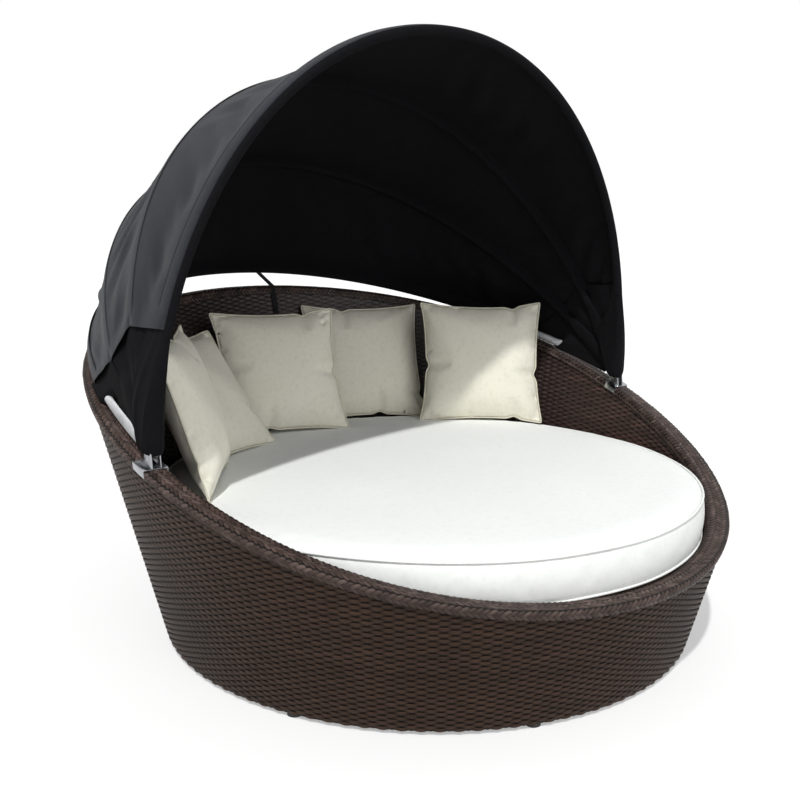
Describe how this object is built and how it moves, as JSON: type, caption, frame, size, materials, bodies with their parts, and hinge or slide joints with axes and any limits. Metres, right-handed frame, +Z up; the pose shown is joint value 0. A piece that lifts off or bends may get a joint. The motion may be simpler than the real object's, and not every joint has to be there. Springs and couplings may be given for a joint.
{
  "type": "canopy daybed",
  "caption": "Round woven tub daybed with a sloping rim, thick round mattress, loose pillows and a folding arched canopy.",
  "frame": {"origin": "on the floor under the middle of the tub, at the middle of the centre leg's foot", "axes": "+Z up; +Y towards the high back of the rim, -Y the low open front; +X to the right seen from the front"},
  "size_m": [1.9904, 2.06, 1.7917],
  "materials": {
    "wicker": "woven flat synthetic strand, dark brown, slight sheen",
    "braid": "braided round synthetic strand, lighter brown",
    "frame_tube": "brown powder coat",
    "bow_tube": "light silver coat, satin",
    "bracket_steel": "polished stainless",
    "black_plastic": "moulded, matt",
    "deck_board": "plain board",
    "canopy_cloth": "woven outdoor cloth, charcoal",
    "mattress_cover": "white woven cover, piped edges",
    "pillow_cover": "cream woven cover, piped edges"
  },
  "bodies": {
    "tub": {"bearer_1": "frame_tube", "bearer_2": "frame_tube", "bearer_3": "frame_tube", "bearer_4": "frame_tube", "bearer_5": "frame_tube", "centre_leg": "frame_tube", "floor_ring": "frame_tube", "glide_1": "black_plastic", "glide_2": "black_plastic", "glide_3": "black_plastic", "glide_4": "black_plastic", "glide_5": "black_plastic", "glide_6": "black_plastic", "glide_7": "black_plastic", "glide_8": "black_plastic", "hinge_bracket_left": "bracket_steel", "hinge_bracket_right": "bracket_steel", "inner_backrest": "wicker", "mattress": "mattress_cover", "outer_shell": "wicker", "pillow_1": "pillow_cover", "pillow_2": "pillow_cover", "pillow_3": "pillow_cover", "pillow_4": "pillow_cover", "pillow_5": "pillow_cover", "pivot_bolt_left": "bracket_steel", "pivot_bolt_right": "bracket_steel", "pivot_nut_left": "bracket_steel", "pivot_nut_right": "bracket_steel", "rear_bow": "bow_tube", "rear_strap": "canopy_cloth", "rim_band": "braid", "rim_rail": "frame_tube", "seat_deck": "deck_board", "seat_ring": "frame_tube", "spacer_washer_left_1": "bracket_steel", "spacer_washer_left_2": "bracket_steel", "spacer_washer_left_3": "bracket_steel", "spacer_washer_right_1": "bracket_steel", "spacer_washer_right_2": "bracket_steel", "spacer_washer_right_3": "bracket_steel", "strap_button": "black_plastic", "upright_1": "frame_tube", "upright_2": "frame_tube", "upright_3": "frame_tube", "upright_4": "frame_tube", "upright_5": "frame_tube", "upright_6": "frame_tube", "upright_7": "frame_tube", "upright_8": "frame_tube"},
    "rear_middle": {"rear_middle_bow": "bow_tube", "canopy_rear_bay": "canopy_cloth"},
    "front_middle": {"front_middle_bow": "bow_tube", "canopy_middle_bay": "canopy_cloth"},
    "front": {"front_bow": "bow_tube", "canopy_front_bay": "canopy_cloth"}
  },
  "joints": [
    {"name": "rear_middle_fold", "type": "hinge", "parent": "tub", "child": "rear_middle", "pos_m": [0, 0, 0.675], "axis": [-1, 0, 0], "range_deg": [0, 14], "deforming": ["canopy_rear_bay"]},
    {"name": "front_middle_fold", "type": "hinge", "parent": "rear_middle", "child": "front_middle", "pos_m": [0, 0, 0.675], "axis": [-1, 0, 0], "range_deg": [0, 14.6], "deforming": ["canopy_middle_bay"]},
    {"name": "front_fold", "type": "hinge", "parent": "front_middle", "child": "front", "pos_m": [0, 0, 0.675], "axis": [-1, 0, 0], "range_deg": [0, 21], "deforming": ["canopy_front_bay"]}
  ],
  "couplings": [
    {"joint": "rear_middle_fold", "follows": "front_fold", "ratio": 0.66667},
    {"joint": "front_middle_fold", "follows": "front_fold", "ratio": 0.69524}
  ]
}
